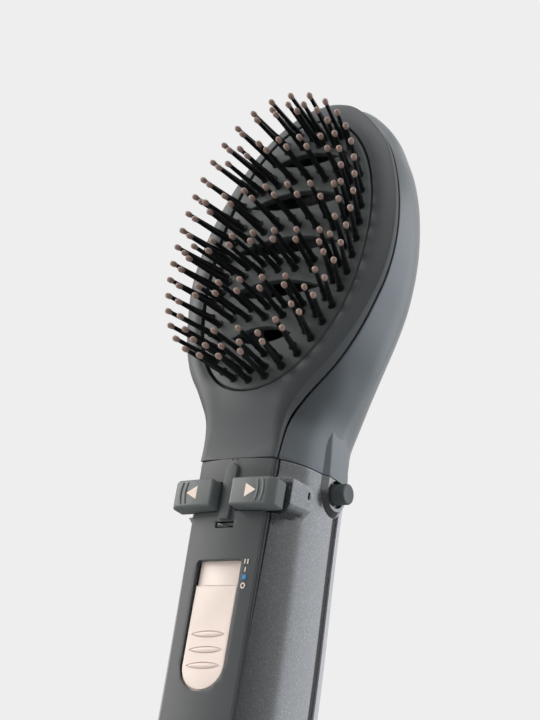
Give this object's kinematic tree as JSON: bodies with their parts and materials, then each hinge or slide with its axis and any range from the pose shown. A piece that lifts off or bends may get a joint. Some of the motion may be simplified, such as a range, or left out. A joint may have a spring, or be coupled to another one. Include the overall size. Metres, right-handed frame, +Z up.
{
  "type": "hot air styling brush",
  "caption": "Hot air paddle brush: oval head with ball-tipped pins and air vents on a motor handle with a slide switch, direction buttons and release pegs.",
  "frame": {"origin": "on the handle's centre line at the underside of the end cap", "axes": "+Z up the handle to the head, -Y the way the pins point, +X to the right as seen from the pins' side"},
  "size_m": [0.0672, 0.0622, 0.3368],
  "materials": {
    "pearl_grey": "satin pearl grey with a fine sparkle",
    "pale_grey": "satin pale grey",
    "dark_trim": "matte dark strip",
    "matte_grey": "matte slate grey",
    "shell_grey": "fine matte texture",
    "rear_grey": "satin slate blue grey",
    "pad_grey": "matte greenish grey",
    "pin_black": "semi-matte black, with pale ball tips",
    "button_grey": "matte grey",
    "slider_rose": "satin pale rose",
    "black_nylon": "matte",
    "heat_nylon": "matte, heat proof",
    "white_nylon": "matte",
    "lens": "translucent",
    "spring_steel": "bright drawn wire",
    "motor_steel": "zinc plated",
    "mica": "layered mica",
    "nichrome": "oxidised resistance wire",
    "board": "green laminate",
    "potting": "potted resin",
    "screen_steel": "woven screen"
  },
  "bodies": {
    "handle": {"front_casing": "pearl_grey", "rear_casing": "pale_grey", "seam_strip_left": "dark_trim", "seam_strip_right": "dark_trim", "front_panel": "matte_grey", "ion_window": "lens", "slide_switch": "black_nylon", "direction_spring_left": "spring_steel", "direction_spring_right": "spring_steel", "direction_switch_left": "black_nylon", "direction_switch_right": "black_nylon", "release_spring_left": "spring_steel", "release_spring_right": "spring_steel", "outlet_barrel": "heat_nylon", "drive_gearmotor": "motor_steel", "ion_emitter": "white_nylon", "heater_tube": "mica", "heater_frame": "mica", "heater_coil": "nichrome", "thermostat": "motor_steel", "fan_duct": "black_nylon", "fan_motor": "motor_steel", "circuit_board": "board", "ion_generator": "potting", "end_cap": "matte_grey", "intake_grille": "matte_grey", "filter_screen": "screen_steel"},
    "head": {"head_front_shell": "shell_grey", "head_rear_shell": "rear_grey", "head_socket": "heat_nylon", "pad_base": "pad_grey", "head_baffle": "heat_nylon", "pin_bed_1": "pin_black", "pin_bed_2": "pin_black", "pin_bed_3": "pin_black", "pin_bed_4": "pin_black", "pin_bed_5": "pin_black", "pin_bed_6": "pin_black"},
    "power_slider": {"power_slider": "slider_rose"},
    "direction_button_left": {"direction_button_left": "button_grey"},
    "direction_button_right": {"direction_button_right": "button_grey"},
    "release_button_left": {"release_button_left": "black_nylon"},
    "release_button_right": {"release_button_right": "black_nylon"},
    "fan_rotor": {"fan_rotor": "white_nylon"},
    "drive_hub": {"drive_hub": "white_nylon"},
    "cord_swivel": {"cord_swivel": "black_nylon"}
  },
  "joints": [
    {"name": "head_plug", "type": "slide", "parent": "handle", "child": "head", "axis": [0, 0, 1], "range_m": [0, 0.024]},
    {"name": "power_slide", "type": "slide", "parent": "handle", "child": "power_slider", "axis": [0, 0, 1], "range_m": [0, 0.0065]},
    {"name": "direction_press_left", "type": "slide", "parent": "handle", "child": "direction_button_left", "axis": [0, 1, 0], "range_m": [0, 0.0015], "stiffness_N_per_m": 900, "deforming": ["direction_spring_left"]},
    {"name": "direction_press_right", "type": "slide", "parent": "handle", "child": "direction_button_right", "axis": [0, 1, 0], "range_m": [0, 0.0015], "stiffness_N_per_m": 900, "deforming": ["direction_spring_right"]},
    {"name": "release_press_left", "type": "slide", "parent": "handle", "child": "release_button_left", "axis": [1, 0, 0], "range_m": [0, 0.002], "stiffness_N_per_m": 1500, "deforming": ["release_spring_left"]},
    {"name": "release_press_right", "type": "slide", "parent": "handle", "child": "release_button_right", "axis": [-1, 0, 0], "range_m": [0, 0.002], "stiffness_N_per_m": 1500, "deforming": ["release_spring_right"]},
    {"name": "fan_spin", "type": "hinge", "parent": "handle", "child": "fan_rotor", "pos_m": [0, 0.0026, 0.087], "axis": [0, 0, 1], "continuous": true},
    {"name": "hub_spin", "type": "hinge", "parent": "handle", "child": "drive_hub", "pos_m": [0, 0.0012, 0.2216], "axis": [0, 0, 1], "continuous": true},
    {"name": "cord_swivel_turn", "type": "hinge", "parent": "handle", "child": "cord_swivel", "pos_m": [0, 0.0003, 0.005], "axis": [0, 0, 1], "continuous": true}
  ]
}
